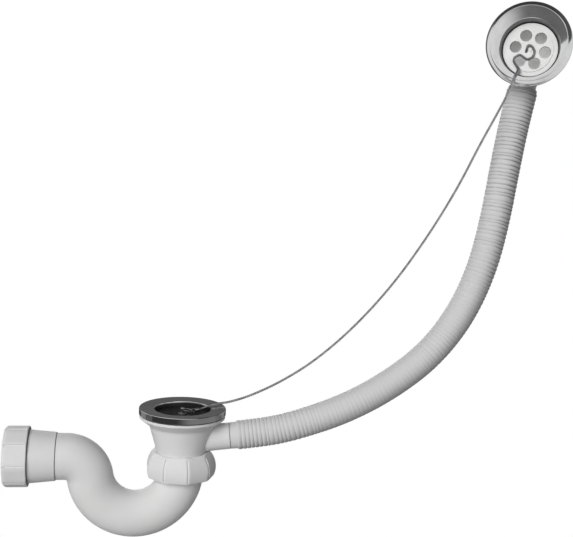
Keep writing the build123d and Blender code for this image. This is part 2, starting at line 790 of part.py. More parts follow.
pieces = {
    "waste_flange": waste_flange, "flange_seal": flange_seal, "body_washer": body_washer,
    "waste_body": waste_body, "waste_screw": waste_screw, "screw_insert": screw_insert, "plug": plug,
    "plug_eye": plug_eye, "plug_ring": plug_ring, "trap_nut": trap_nut, "trap_washer": trap_washer,
    "trap_bend": trap_bend, "outlet_socket": outlet_socket, "outlet_seal": outlet_seal,
    "outlet_slip_washer": outlet_slip_washer, "outlet_nut": outlet_nut, "overflow_hose": overflow_hose,
    "overflow_bezel": overflow_bezel, "overflow_face_seal": overflow_face_seal,
    "overflow_washer": overflow_washer, "overflow_body": overflow_body,
    "overflow_strainer": overflow_strainer, "chain_hook": chain_hook, "chain_end_upper": chain_end_upper,
    "chain_end_lower": chain_end_lower, "plug_chain": plug_chain}

os.makedirs("parts", exist_ok=True)
for name, make in pieces.items():
    export_step(make(), "parts/" + name + ".step")
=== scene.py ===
import bpy
import bmesh
from math import cos, pi, radians, sin, sqrt, tan
from mathutils import Matrix, Vector, noise


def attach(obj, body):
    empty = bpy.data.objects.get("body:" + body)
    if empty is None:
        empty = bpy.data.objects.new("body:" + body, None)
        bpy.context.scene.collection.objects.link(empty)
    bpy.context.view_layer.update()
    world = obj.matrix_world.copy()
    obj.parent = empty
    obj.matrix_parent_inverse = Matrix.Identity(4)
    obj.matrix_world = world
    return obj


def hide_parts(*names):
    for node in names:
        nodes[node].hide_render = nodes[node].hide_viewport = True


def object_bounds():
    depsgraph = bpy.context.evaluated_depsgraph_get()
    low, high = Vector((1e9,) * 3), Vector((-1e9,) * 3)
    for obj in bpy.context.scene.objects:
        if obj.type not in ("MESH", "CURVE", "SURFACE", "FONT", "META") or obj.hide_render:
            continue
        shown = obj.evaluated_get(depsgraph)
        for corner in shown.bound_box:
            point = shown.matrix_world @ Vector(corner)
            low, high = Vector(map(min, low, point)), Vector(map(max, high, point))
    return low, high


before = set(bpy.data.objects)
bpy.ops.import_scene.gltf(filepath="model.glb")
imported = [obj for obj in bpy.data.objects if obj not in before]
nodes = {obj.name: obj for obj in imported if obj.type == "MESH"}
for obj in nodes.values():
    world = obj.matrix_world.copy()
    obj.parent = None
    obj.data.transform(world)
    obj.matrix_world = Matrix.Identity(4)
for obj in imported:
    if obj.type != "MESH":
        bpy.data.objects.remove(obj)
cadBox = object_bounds()
print("frame loaded:", len(nodes), "nodes")


# camera, at the photograph's viewing angle

view = {
    "place": (-0.0342, -0.8554, 0.2310),
    "azimuth": -8.0,        # degrees, the camera stands a little to the left
    "pitch": 6.7,           # looking down
    "roll": 2.5,
    "focalPixels": 1000.0,
    "imageWidth": 573,
    "sensor": 36.0,
}


def makeCamera(spec):
    turn, dip, roll = (radians(spec[key]) for key in ("azimuth", "pitch", "roll"))
    back = Vector((sin(turn) * cos(dip), -cos(turn) * cos(dip), sin(dip)))
    level = Vector((cos(turn), sin(turn), 0))
    above = back.cross(level)
    right = level * cos(roll) + above * sin(roll)
    up = above * cos(roll) - level * sin(roll)
    lens = bpy.data.cameras.new("photoCamera")
    lens.sensor_fit = "HORIZONTAL"
    lens.sensor_width = spec["sensor"]
    lens.lens = spec["sensor"] * spec["focalPixels"] / spec["imageWidth"]
    camera = bpy.data.objects.new("photoCamera", lens)
    facing = Matrix((right, up, back)).transposed().to_4x4()
    camera.matrix_world = Matrix.Translation(spec["place"]) @ facing
    bpy.context.scene.collection.objects.link(camera)
    bpy.context.scene.camera = camera


makeCamera(view)
print("camera placed")


# smooth lines through a route's points, and rings swept along them

def readLine(name, route, steps):
    data = bpy.data.curves.new(name, "CURVE")
    data.dimensions = "3D"
    data.resolution_u = steps
    spline = data.splines.new("NURBS")
    spline.points.add(len(route) - 1)
    for knot, place in zip(spline.points, route):
        knot.co = (*place, 1.0)
    spline.use_endpoint_u = True        # set after the points, or the line stays straight runs
    spline.order_u = 3
    holder = bpy.data.objects.new(name, data)
    mesh = bpy.data.meshes.new_from_object(holder)
    line = [vertex.co.copy() for vertex in mesh.vertices]
    bpy.data.objects.remove(holder)
    bpy.data.curves.remove(data)
    bpy.data.meshes.remove(mesh)
    return line


class Track:
    def __init__(self, line):
        self.line = line
        self.marks = [0.0]
        self.frames = []
        runs = [after - before for before, after in zip(line, line[1:])]
        facing = Vector((0, 0, 1)).rotation_difference(runs[0])
        for index, run in enumerate(runs):
            self.marks.append(self.marks[-1] + run.length)
            if index:
                facing = runs[index - 1].rotation_difference(run) @ facing
            self.frames.append(facing.copy())
        self.length = self.marks[-1]

    def frameAt(self, distance):
        index = 0
        while index < len(self.frames) - 1 and self.marks[index + 1] < distance:
            index += 1
        share = (distance - self.marks[index]) / (self.marks[index + 1] - self.marks[index])
        place = self.line[index].lerp(self.line[index + 1], share)
        ahead = self.frames[min(index + 1, len(self.frames) - 1)]
        behind = self.frames[max(index - 1, 0)]
        side = ahead if share > 0.5 else behind
        facing = self.frames[index].slerp(side, abs(share - 0.5))
        return Matrix.Translation(place) @ facing.to_matrix().to_4x4()


def sweepRings(mesh, track, stations, segments, layerName):
    # stations are (distance, radius, mark); each ring is extruded from the last one
    layer = mesh.verts.layers.float.new(layerName)
    distance, radius, mark = stations[0]
    frameHere = track.frameAt(distance)
    start = bmesh.ops.create_circle(
        mesh, cap_ends=True, radius=radius, segments=segments, matrix=frameHere)
    ring = start["verts"]
    edges = list(mesh.edges)
    for vertex in ring:
        vertex[layer] = mark
    for distance, nextRadius, mark in stations[1:]:
        grown = bmesh.ops.extrude_edge_only(mesh, edges=edges)["geom"]
        ring = {item for item in grown if isinstance(item, bmesh.types.BMVert)}
        edges = [item for item in grown if isinstance(item, bmesh.types.BMEdge) and set(item.verts) <= ring]
        frameNext = track.frameAt(distance)
        step = frameNext @ Matrix.Scale(nextRadius / radius, 4) @ frameHere.inverted()
        bmesh.ops.transform(mesh, matrix=step, verts=list(ring))
        for vertex in ring:
            vertex[layer] = mark
        frameHere, radius = frameNext, nextRadius
    bmesh.ops.contextual_create(mesh, geom=edges)
    bmesh.ops.recalc_face_normals(mesh, faces=mesh.faces)


capCorners = 6      # a face with this many corners or more closes the end of a sweep


def finishPiece(name, mesh, flatCaps=True):
    data = bpy.data.meshes.new(name)
    for face in mesh.faces:
        face.smooth = len(face.verts) < capCorners or not flatCaps
    mesh.to_mesh(data)
    mesh.free()
    piece = bpy.data.objects.new(name, data)
    bpy.context.scene.collection.objects.link(piece)
    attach(piece, "root")
    return piece


# bead chain from the plug to the hook on the strainer

chain = {
    "route": [
        (0.0165, 0.0040, 0.0028), (0.0233, 0.0056, 0.0056), (0.0304, 0.0073, 0.0066),
        (0.0346, 0.0083, 0.0071), (0.0390, 0.0089, 0.0075), (0.0468, 0.0083, 0.0097),
        (0.0594, 0.0073, 0.0142), (0.0840, 0.0059, 0.0262), (0.1149, 0.0040, 0.0466),
        (0.1490, 0.0020, 0.0783), (0.1823, 0.0000, 0.1184), (0.2106, -0.0016, 0.1622),
        (0.2342, -0.0031, 0.2052), (0.2512, -0.0042, 0.2434), (0.2636, -0.0049, 0.2683),
        (0.2714, -0.0056, 0.2849), (0.2742, -0.0072, 0.2932), (0.2752, -0.0082, 0.2977),
        (0.2770, -0.0084, 0.3034), (0.2807, -0.0009, 0.3063), (0.2842, 0.0064, 0.3081),
        (0.2875, 0.0125, 0.3101)],
    "beadRadius": 0.00117,
    "beadPitch": 0.00182,
    "endRadius": 0.00074,
    "beadShares": (-0.70, -0.42, 0.0, 0.42, 0.70),
    "segments": 10,
    "lineSteps": 24,
}


def makeChain(spec):
    line = readLine("chainLine", spec["route"], spec["lineSteps"])
    track = Track(line)
    radius = spec["beadRadius"]
    beads = int(track.length / spec["beadPitch"])
    pitch = track.length / beads
    stations = [(0.0, spec["endRadius"], 0.0)]
    for bead in range(beads):
        middle = (bead + 0.5) * pitch
        for share in spec["beadShares"]:
            roundness = 1 - share * share
            stations.append((middle + share * radius, radius * sqrt(roundness), roundness))
    stations.append((track.length, spec["endRadius"], 0.0))
    mesh = bmesh.new()
    sweepRings(mesh, track, stations, spec["segments"], "bead")
    piece = finishPiece("beadChain", mesh, flatCaps=False)
    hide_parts("plug_chain")
    print("chain:", beads, "beads,", round(track.length * 1000, 1), "mm")
    return piece


chainPiece = makeChain(chain)


# corrugated hose from the waste's spigot to the overflow's spigot

hose = {
    "route": [
        (0.04214, -0.00369, -0.01890), (0.07180, -0.00628, -0.01524), (0.1019, -0.0088, -0.0072),
        (0.1435, -0.0097, 0.0080), (0.1827, -0.0083, 0.0296), (0.2184, -0.0050, 0.0571),
        (0.2463, 0.0006, 0.0929), (0.2654, 0.0078, 0.1339), (0.2770, 0.0159, 0.1777),
        (0.2853, 0.0234, 0.2226), (0.29541, 0.03355, 0.26775), (0.30165, 0.03461, 0.29707)],
    "startCuff": {"radius": 0.0115, "length": 0.006},
    "endCuff": {"radius": 0.0130, "length": 0.003},
    "radius": (0.0126, 0.0139),         # over the rings, at the waste and at the overflow
    "grooves": [                        # share of the length, depth between the rings
        (0.0, 0.00055), (0.12, 0.00045), (0.18, 0.00012), (0.38, 0.00010), (0.43, 0.00030),
        (0.47, 0.00028), (0.51, 0.00010), (0.55, 0.00036), (0.62, 0.00062), (0.80, 0.00076),
        (1.0, 0.00074)],
    "deepest": 0.0008,
    "unevenness": 0.55,                 # of the rings' depth
    "depthNoise": (0.83, 0.4, 0.7),     # step for each ring, and where the noise is read
    "stagger": 0.55,                    # of their places, as a share of the pitch
    "placeNoise": (0.71, 2.6, 0.2),
    "pitch": 0.0036,
    "ringShape": [                      # share of the pitch, share of the groove's depth
        (0.0, 1.0), (0.08, 0.84), (0.17, 0.36), (0.28, 0.08), (0.5, 0.0), (0.72, 0.08),
        (0.83, 0.36), (0.92, 0.84)],
    "cuffRound": 0.0006,
    "endMark": 0.8,                     # how much painted groove shade the rounded ends get, as a share of a full groove
    "stepMark": 0.6,                    # and the step at the end cuff
    "segments": 48,
    "lineSteps": 24,
}


def grooveDepth(spec, share):
    for (before, shallow), (after, deep) in zip(spec["grooves"], spec["grooves"][1:]):
        if share <= after:
            return shallow + (deep - shallow) * (share - before) / (after - before)
    return spec["grooves"][-1][1]


def ringNoise(ring, reading):
    step, across, along = reading
    return noise.noise(Vector((ring * step, across, along)))


def hoseStations(spec, length):
    first, last = spec["startCuff"], spec["endCuff"]
    ringed = length - first["length"] - last["length"]
    count = round(ringed / spec["pitch"])
    pitch = ringed / count
    edge = spec["cuffRound"]
    stations = [(0.0, first["radius"] - edge, spec["endMark"]), (edge, first["radius"], 0.0)]
    stations.append((first["length"] - edge, first["radius"], 0.0))
    starts = [first["length"]]
    for ring in range(1, count):
        shift = spec["stagger"] * ringNoise(ring, spec["placeNoise"])
        starts.append(first["length"] + (ring + shift) * pitch)
    starts.append(length - last["length"])
    for ring, (here, after) in enumerate(zip(starts, starts[1:])):
        worn = 1 + spec["unevenness"] * ringNoise(ring, spec["depthNoise"])
        for across, depth in spec["ringShape"]:
            share = (ring + across) / count
            crest = spec["radius"][0] + (spec["radius"][1] - spec["radius"][0]) * share
            groove = min(worn * grooveDepth(spec, share), spec["deepest"]) * depth
            stations.append((here + across * (after - here), crest - groove, groove / spec["deepest"]))
    stations.append((length - last["length"], last["radius"] - edge, spec["stepMark"]))
    stations.append((length - last["length"] + edge, last["radius"], 0.0))
    stations.append((length - edge, last["radius"], 0.0))
    stations.append((length, last["radius"] - edge, spec["endMark"]))
    return stations, count


def makeHose(spec):
    track = Track(readLine("hoseLine", spec["route"], spec["lineSteps"]))
    stations, count = hoseStations(spec, track.length)
    mesh = bmesh.new()
    sweepRings(mesh, track, stations, spec["segments"], "groove")
    piece = finishPiece("ringedHose", mesh)
    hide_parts("overflow_hose")
    print("hose:", count, "rings,", round(track.length * 1000, 1), "mm")
    return piece


hosePiece = makeHose(hose)


# chrome pieces with even, fine strips, so that their reflections run true

head = {                                # where the overflow meets the bath, and which way it looks
    "place": (0.2908, -0.0014, 0.3324),
    "axis": (-0.419468, -0.899552, 0.121869),
}
spun = {
    "roundSteps": 7,
    "strip": 0.0015,                    # longest straight run of the outline
    "steps": 144,
    "mergeDistance": 0.000001,
    "sharpAngle": 32.0,
}
bezel = {
    **head, **spun,
    "corners": [                        # radius, height, rounding
        (0.0208, -0.0239, 0.0), (0.0257, -0.0239, 0.0005), (0.0279, -0.0105, 0.0005),
        (0.0328, 0.0, 0.0005), (0.0371, 0.0, 0.0), (0.0371, 0.0060, 0.0040),
        (0.0327, 0.0060, 0.0005), (0.0265, -0.0105, 0.0005), (0.0243, -0.0225, 0.0),
        (0.0208, -0.0225, 0.0)],
}
wasteFlange = {
    **spun,
    "corners": [
        (0.0240, -0.0120, 0.0005), (0.0262, 0.0, 0.0005), (0.037745, 0.0, 0.0),
        (0.037745, 0.0052, 0.0009), (0.03455, 0.0052, 0.0005), (0.0246, 0.0042, 0.0005),
        (0.0224, -0.0095, 0.0005), (0.0210, -0.0095, 0.0), (0.0210, -0.0120, 0.0)],
    "baseRadius": 0.0215,
    "baseSegments": 96,
    "baseTop": -0.0095,
    "baseThickness": 0.0025,
    "drainRadius": 0.0050,
    "drainSegments": 40,
    "drainCircle": 0.0135,
    "drains": 6,
    "screwHole": 0.00545,
    "screwSegments": 32,
}


def spinOutline(mesh, spec):
    corners = spec["corners"]
    points = [mesh.verts.new((radius, 0, height)) for radius, height, rounding in corners]
    for here, after in zip(points, points[1:] + points[:1]):
        mesh.edges.new((here, after))
    for point, (radius, height, rounding) in zip(points, corners):
        if rounding:
            before, after = (edge.other_vert(point).co - point.co for edge in point.link_edges)
            reach = rounding / tan(before.angle(after) / 2)
            bmesh.ops.bevel(mesh, geom=[point], offset=reach, affect="VERTICES",
                            segments=spec["roundSteps"], profile=0.5, material=-1)
    for edge in list(mesh.edges):
        cuts = int(edge.calc_length() / spec["strip"])
        if cuts:
            bmesh.ops.subdivide_edges(mesh, edges=[edge], cuts=cuts)
    outline = list(mesh.verts) + list(mesh.edges)
    bmesh.ops.spin(mesh, geom=outline, cent=(0, 0, 0), axis=(0, 0, 1), angle=2 * pi,
                   steps=spec["steps"], use_merge=True)


def closeShell(mesh, spec):
    bmesh.ops.remove_doubles(mesh, verts=mesh.verts, dist=spec["mergeDistance"])
    bmesh.ops.recalc_face_normals(mesh, faces=mesh.faces)
    for edge in mesh.edges:
        edge.smooth = edge.calc_face_angle(0.0) < radians(spec["sharpAngle"])


def makeBezel(spec):
    mesh = bmesh.new()
    spinOutline(mesh, spec)
    facing = Vector((0, 0, 1)).rotation_difference(Vector(spec["axis"])).to_matrix().to_4x4()
    bmesh.ops.transform(mesh, matrix=Matrix.Translation(spec["place"]) @ facing, verts=mesh.verts)
    closeShell(mesh, spec)
    piece = finishPiece("chromeBezel", mesh, flatCaps=False)
    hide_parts("overflow_bezel")
    print("bezel:", spec["steps"], "steps round")
    return piece


def makeWasteFlange(spec):
    mesh = bmesh.new()
    spinOutline(mesh, spec)
    low = spec["baseTop"] - spec["baseThickness"]
    circles = [
        (0.0, 0.0, spec["baseRadius"], spec["baseSegments"]),
        (0.0, 0.0, spec["screwHole"], spec["screwSegments"])]
    for drain in range(spec["drains"]):
        turn = 2 * pi * drain / spec["drains"]
        middle = spec["drainCircle"] * Vector((cos(turn), sin(turn)))
        circles.append((*middle, spec["drainRadius"], spec["drainSegments"]))
    rims = []
    for x, y, radius, segments in circles:
        rim = bmesh.ops.create_circle(
            mesh, radius=radius, segments=segments, matrix=Matrix.Translation((x, y, low)))["verts"]
        rims += {edge for vertex in rim for edge in vertex.link_edges}
    plate = bmesh.ops.triangle_fill(mesh, use_beauty=True, edges=rims)["geom"]
    faces = [item for item in plate if isinstance(item, bmesh.types.BMFace)]
    raised = bmesh.ops.extrude_face_region(mesh, geom=faces, use_keep_orig=True)["geom"]
    corners = [item for item in raised if isinstance(item, bmesh.types.BMVert)]
    bmesh.ops.translate(mesh, verts=corners, vec=(0, 0, spec["baseThickness"]))
    closeShell(mesh, spec)
    piece = finishPiece("chromeFlange", mesh, flatCaps=False)
    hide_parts("waste_flange")
    print("waste flange:", spec["drains"], "drain holes")
    return piece


bezelPiece = makeBezel(bezel)
flangePiece = makeWasteFlange(wasteFlange)


# shader nodes: sums are written as expressions on signals

class Signal:
    def __init__(self, paint, socket):
        self.paint = paint
        self.socket = socket

    def combine(self, operation, first, second):
        return self.paint.add("ShaderNodeMath", {"operation": operation}, {0: first, 1: second})

    def __add__(self, other):
        return self.combine("ADD", self, other)

    def __radd__(self, other):
        return self.combine("ADD", other, self)

    def __sub__(self, other):
        return self.combine("SUBTRACT", self, other)

    def __rsub__(self, other):
        return self.combine("SUBTRACT", other, self)

    def __mul__(self, other):
        return self.combine("MULTIPLY", self, other)

    def __rmul__(self, other):
        return self.combine("MULTIPLY", other, self)


class Paint:
    def __init__(self, tree):
        self.tree = tree
        self.tree.nodes.clear()

    def add(self, kind, settings=None, sockets=None, output=0):
        node = self.tree.nodes.new(kind)
        for key, value in (settings or {}).items():
            if key == "stops":
                self.setStops(node.color_ramp, value)
            else:
                setattr(node, key, value)
        for key, value in (sockets or {}).items():
            if isinstance(value, Signal):
                self.tree.links.new(value.socket, node.inputs[key])
            else:
                node.inputs[key].default_value = value
        return Signal(self, node.outputs[output]) if node.outputs else None

    def setStops(self, ramp, stops):
        while len(ramp.elements) < len(stops):
            ramp.elements.new(1.0)
        for element, (place, level) in zip(ramp.elements, stops):
            element.position = place
            element.color = (level, level, level, 1.0)

    def place(self):
        return self.add("ShaderNodeTexCoord", output="Object")

    def noise(self, scale, detail=2.0, roughness=0.5):
        sockets = {"Vector": self.place(), "Scale": scale, "Detail": detail, "Roughness": roughness}
        return self.add("ShaderNodeTexNoise", sockets=sockets, output="Fac")

    def rise(self, value, places):
        # black at the first place and white at the second
        stops = list(zip(places, (0.0, 1.0)))
        return self.add("ShaderNodeValToRGB", {"stops": stops}, {"Fac": value})

    def mixColour(self, share, first, second):
        sides = [side if isinstance(side, Signal) else (*side, 1.0) for side in (first, second)]
        sockets = {0: share, 6: sides[0], 7: sides[1]}      # factor and the two colours
        return self.add("ShaderNodeMix", {"data_type": "RGBA"}, sockets, output=2)

    def fade(self, value, low, high):
        sockets = {"Value": value, "From Min": low, "From Max": high}
        return self.add("ShaderNodeMapRange", {"interpolation_type": "SMOOTHSTEP"}, sockets)

    def turn(self, operation, first, second=None, output=0, **sockets):
        named = {0: first} if second is None else {0: first, 1: second}
        return self.add("ShaderNodeVectorMath", {"operation": operation}, {**named, **sockets}, output)

    def bump(self, height, strength, distance, **sockets):
        sockets.update({"Height": height, "Strength": strength, "Distance": distance})
        return self.add("ShaderNodeBump", sockets=sockets, output="Normal")

    def surface(self, **sockets):
        named = {key.replace("_", " "): value for key, value in sockets.items()}
        shader = self.add("ShaderNodeBsdfPrincipled", sockets=named)
        self.add("ShaderNodeOutputMaterial", sockets={"Surface": shader})


def newPaint(name):
    material = bpy.data.materials.new(name)
    material.use_nodes = True
    return material, Paint(material.node_tree)


def alongAxis(paint, place, axis):
    offset = paint.turn("SUBTRACT", paint.place(), place)
    return offset, paint.turn("DOT_PRODUCT", offset, axis, output="Value")


def aroundAxis(paint, place, axis):
    # height along the axis, the vector away from it and that vector's length
    offset, height = alongAxis(paint, place, axis)
    across = paint.turn("SUBTRACT", offset, paint.turn("SCALE", axis, Scale=height))
    return height, across, paint.turn("LENGTH", across, output="Value")


mouldedPlastic = {
    "pale": (0.80, 0.80, 0.80),
    "dull": (0.755, 0.755, 0.75),
    # painted shade: colour of the dark line beside each joint
    "joint": (0.22, 0.22, 0.22),
    "roughness": (0.42, 0.54),
    "gloss": 0.25,
    "grain": {"scale": 2600.0, "strength": 0.35, "depth": 0.00004},
    "flowScale": 22.0,
    "flowRange": (0.35, 0.7),
    "smearScale": 70.0,
    "jointEdge": 0.00015,               # soft start of a joint's dark line
    "jointCore": 0.35,                  # share of the line's width that is fully dark
    "joints": [                         # a point, the direction out of the joint, the width of the painted shade line
        ((-0.13015, 0.0, -0.039), (1.0, 0.0, 0.0), 0.0009),
        ((-0.10715, 0.0, -0.039), (1.0, 0.0, 0.0), 0.0008),
        ((0.04214, -0.00369, -0.0189), (-0.98876, 0.08651, -0.12187), 0.0007)],
    "chamber": {                        # painted glow: emission on the chamber's inside behind the strainer, so its holes look lit
        **head, "radius": 0.0222, "depth": (0.0512, 0.0240), "glow": (0.065, 0.065, 0.065),
        "edge": 0.0002, "mouthFade": 0.001},
}


def jointShadeLines(paint, spec):
    # painted shade: a dark line on the surface just beside each joint, where the parts meet
    lines = 0.0
    for point, direction, width in spec["joints"]:
        distance = alongAxis(paint, point, direction)[1]
        near = paint.fade(distance, -spec["jointEdge"], 0.0)
        lines = lines + near * (1 - paint.fade(distance, width * spec["jointCore"], width))
    return lines


def chamberPaintedGlow(paint, spec):
    # painted light: the chamber's inside glows, though no lamp is there
    height, _, radius = aroundAxis(paint, spec["place"], spec["axis"])
    low, high = (-depth for depth in spec["depth"])
    edge = spec["edge"]
    mouth = 1 - paint.fade(height, high - spec["mouthFade"], high)
    level = paint.fade(height, low, low + edge) * mouth
    inside = level * (1 - paint.fade(radius, spec["radius"] - edge, spec["radius"]))
    return paint.mixColour(inside, (0.0, 0.0, 0.0), spec["glow"])


def paintMouldedPlastic(spec):
    material, paint = newPaint("mouldedPlastic")
    flow = paint.noise(spec["flowScale"], detail=4.0, roughness=0.6)
    smear = paint.noise(spec["smearScale"], detail=3.0)
    grain = spec["grain"]
    low, high = spec["roughness"]
    clean = paint.mixColour(paint.rise(flow, spec["flowRange"]), spec["pale"], spec["dull"])
    paint.surface(
        # painted shade beside the joints darkens the base colour
        Base_Color=paint.mixColour(jointShadeLines(paint, spec), clean, spec["joint"]),
        Roughness=low + smear * (high - low),
        Specular_IOR_Level=spec["gloss"],
        # painted glow inside the chamber behind the strainer
        Emission_Color=chamberPaintedGlow(paint, spec["chamber"]),
        Emission_Strength=1.0,
        Normal=paint.bump(paint.noise(grain["scale"], detail=1.0), grain["strength"], grain["depth"]))
    return material


hosePlastic = {
    "crest": (0.68, 0.68, 0.68),
    # painted shade in the grooves between the rings
    "groove": (0.22, 0.22, 0.22),
    "shade": (0.43, 0.43, 0.43),        # painted shade: greyed flank, on the side of the given direction
    "ringShadeHeights": (0.02, 0.24),       # painted ring shade grows stronger up the hose, between these heights
    "ringShadeRange": (0.30, 1.25),
    "flank": (0.87, -0.17, -0.46),
    "flankRange": (-0.10, 0.95),
    "flankShare": (0.45, 0.75),         # ring shade off the flank, and the painted shade that the flank adds
    "deepRange": (0.15, 0.90),
    "blotchScale": 160.0,
    "blotchLeast": 0.5,                   # ring shade that is there even where the blotch noise is least
    "grain": {"scale": 1800.0, "strength": 0.3, "depth": 0.00004},
    "roughness": (0.40, 0.54),
    "gloss": 0.25,
}


def paintHosePlastic(spec):
    material, paint = newPaint("hosePlastic")
    groove = paint.add("ShaderNodeAttribute", {"attribute_name": "groove"}, output="Fac")
    blotches = paint.noise(spec["blotchScale"], detail=3.0)
    grain = spec["grain"]
    low, high = spec["roughness"]
    normal = paint.add("ShaderNodeNewGeometry", output="Normal")
    facing = paint.turn("DOT_PRODUCT", normal, spec["flank"], output="Value")
    # painted shade on the flank that faces the given direction
    flank = paint.fade(facing, *spec["flankRange"])
    plain, added = spec["flankShare"]
    height = paint.turn("DOT_PRODUCT", paint.place(), (0.0, 0.0, 1.0), output="Value")
    shadeLow, shadeHigh = spec["ringShadeRange"]
    upwardShade = shadeLow + paint.fade(height, *spec["ringShadeHeights"]) * (shadeHigh - shadeLow)
    # painted shade in the grooves: blotchy, stronger up the hose and on the flank
    darkness = groove * upwardShade * (spec["blotchLeast"] + blotches) * (plain + added * flank)
    deep = paint.fade(darkness, *spec["deepRange"])
    # painted shade: the skin greys towards the flank
    shadedSkin = paint.mixColour(flank, spec["crest"], spec["shade"])
    paint.surface(
        Base_Color=paint.mixColour(deep, shadedSkin, spec["groove"]),
        Roughness=low + blotches * (high - low),
        Specular_IOR_Level=spec["gloss"],
        Normal=paint.bump(paint.noise(grain["scale"], detail=1.0), grain["strength"], grain["depth"]))
    return material


bezelChrome = {
    **head,
    "bright": (0.80, 0.80, 0.805),
    "worn": (0.66, 0.66, 0.665),
    "inner": (0.17, 0.17, 0.172),       # painted shade on the cup's inside wall
    "innerRadius": 0.0264,
    "innerEdge": 0.0002,
    "innerRoughness": 0.25,             # added to the polished roughness
    "roughness": (0.08, 0.15),
    "hazeScale": 38.0,
    "hazeRange": (0.45, 0.75),
    "turningPitch": 0.00045,
    "turningBump": {"strength": 0.12, "depth": 0.00003},
    "opening": 1.29,                    # how far the polished dish mirrors as a wider cone
    "lipTurn": 0.5,                     # and the lip round it as a steeper one
    "side": (0.72, 0.72, 0.725),        # painted reflection: the tone of the rim's outer side
    "dishRange": (0.55, 0.85),          # how far a surface faces the axis, from rim to dish
    "lipRange": (-0.15, 0.0),
    "lipHeights": (0.0010, 0.0020),
    "sideRange": (0.80, 0.97),
}
# the waste's throat wall gets a darker painted shade
wasteChrome = {
    **bezelChrome, "place": (0.0, 0.0, 0.0), "axis": (0.0, 0.0, 1.0), "innerRadius": 0.02455,
    "inner": (0.06, 0.06, 0.061), "opening": 0.0, "lipTurn": 0.0,
    # a dark painted reflection on the rim's outer side
    "side": (0.20, 0.20, 0.202)}


def paintTurnedChrome(name, spec):
    # polished chrome with fine turning lines round the piece's axis
    material, paint = newPaint(name)
    height, across, radius = aroundAxis(paint, spec["place"], spec["axis"])
    normal = paint.add("ShaderNodeNewGeometry", output="Normal")
    radial = paint.turn("NORMALIZE", across)
    outward = paint.turn("DOT_PRODUCT", normal, radial, output="Value")
    turned = {"W": radius * (1 / spec["turningPitch"]), "Scale": 1.0, "Detail": 2.0}
    turning = paint.add("ShaderNodeTexNoise", {"noise_dimensions": "1D"}, turned, output="Fac")
    haze = paint.noise(spec["hazeScale"], detail=4.0, roughness=0.65)
    # painted shade: the cup's inside wall is darker, and rougher
    inner = 1 - paint.fade(radius, spec["innerRadius"] - spec["innerEdge"], spec["innerRadius"])
    dish = paint.fade(0 - outward, *spec["dishRange"]) * (1 - inner)
    lip = paint.fade(outward, *spec["lipRange"]) * paint.fade(height, *spec["lipHeights"])
    opened = paint.turn("ADD", normal, paint.turn("SCALE", spec["axis"], Scale=dish * spec["opening"]))
    opened = paint.turn("ADD", opened, paint.turn("SCALE", radial, Scale=lip * spec["lipTurn"]))
    low, high = spec["roughness"]
    bump = spec["turningBump"]
    plated = paint.mixColour(paint.rise(haze, spec["hazeRange"]), spec["bright"], spec["worn"])
    # painted reflection: the rim's outer side takes its own tone
    sideReflected = paint.mixColour(paint.fade(outward, *spec["sideRange"]), plated, spec["side"])
    paint.surface(
        Base_Color=paint.mixColour(inner, sideReflected, spec["inner"]),
        Metallic=1.0,
        Roughness=low + haze * (high - low) + inner * spec["innerRoughness"],
        Normal=paint.bump(
            turning, bump["strength"], bump["depth"], Normal=paint.turn("NORMALIZE", opened)))
    return material


tarnished = {"scale": 210.0, "range": (0.4, 0.7), "strength": 0.06, "depth": 0.0001}
chainNickel = {"bright": (0.48, 0.48, 0.49), "dull": (0.29, 0.29, 0.30), "roughness": (0.24, 0.44)}
hookWire = {"bright": (0.42, 0.42, 0.43), "dull": (0.20, 0.20, 0.21), "roughness": (0.22, 0.40)}
screwSteel = {"bright": (0.62, 0.62, 0.63), "dull": (0.42, 0.42, 0.43), "roughness": (0.22, 0.40)}
turnedBrass = {"bright": (0.72, 0.55, 0.27), "dull": (0.52, 0.38, 0.18), "roughness": (0.25, 0.42)}


def paintNickel(name, spec):
    material, paint = newPaint(name)
    tarnish = paint.noise(tarnished["scale"], detail=3.0)
    low, high = spec["roughness"]
    paint.surface(
        Base_Color=paint.mixColour(
            paint.rise(tarnish, tarnished["range"]), spec["bright"], spec["dull"]),
        Metallic=1.0,
        Roughness=low + tarnish * (high - low),
        Normal=paint.bump(tarnish, tarnished["strength"], tarnished["depth"]))
    return material


bloomed = {"scale": 55.0, "range": (0.38, 0.68)}
rubberGrain = {"scale": 1500.0, "strength": 0.3, "depth": 0.00008}
plasticGrain = {"scale": 2400.0, "strength": 0.3, "depth": 0.00004}
blackRubber = {
    "pale": (0.018, 0.018, 0.018), "deep": (0.008, 0.008, 0.008), "roughness": (0.45, 0.62),
    "grain": rubberGrain}
sealRubber = {
    "pale": (0.10, 0.10, 0.102), "deep": (0.055, 0.055, 0.057), "roughness": (0.55, 0.75),
    "grain": rubberGrain}
slipPlastic = {
    "pale": (0.66, 0.66, 0.65), "deep": (0.56, 0.56, 0.55), "roughness": (0.35, 0.50),
    "grain": plasticGrain}
strainerPlastic = {
    "pale": (0.86, 0.86, 0.855), "deep": (0.80, 0.80, 0.79), "roughness": (0.26, 0.38),
    "grain": plasticGrain}


def paintPlain(name, spec):
    material, paint = newPaint(name)
    bloom = paint.noise(bloomed["scale"], detail=4.0, roughness=0.6)
    grain = paint.noise(spec["grain"]["scale"], detail=2.0)
    low, high = spec["roughness"]
    paint.surface(
        Base_Color=paint.mixColour(paint.rise(bloom, bloomed["range"]), spec["deep"], spec["pale"]),
        Roughness=low + grain * (high - low),
        Normal=paint.bump(grain, spec["grain"]["strength"], spec["grain"]["depth"]))
    return material


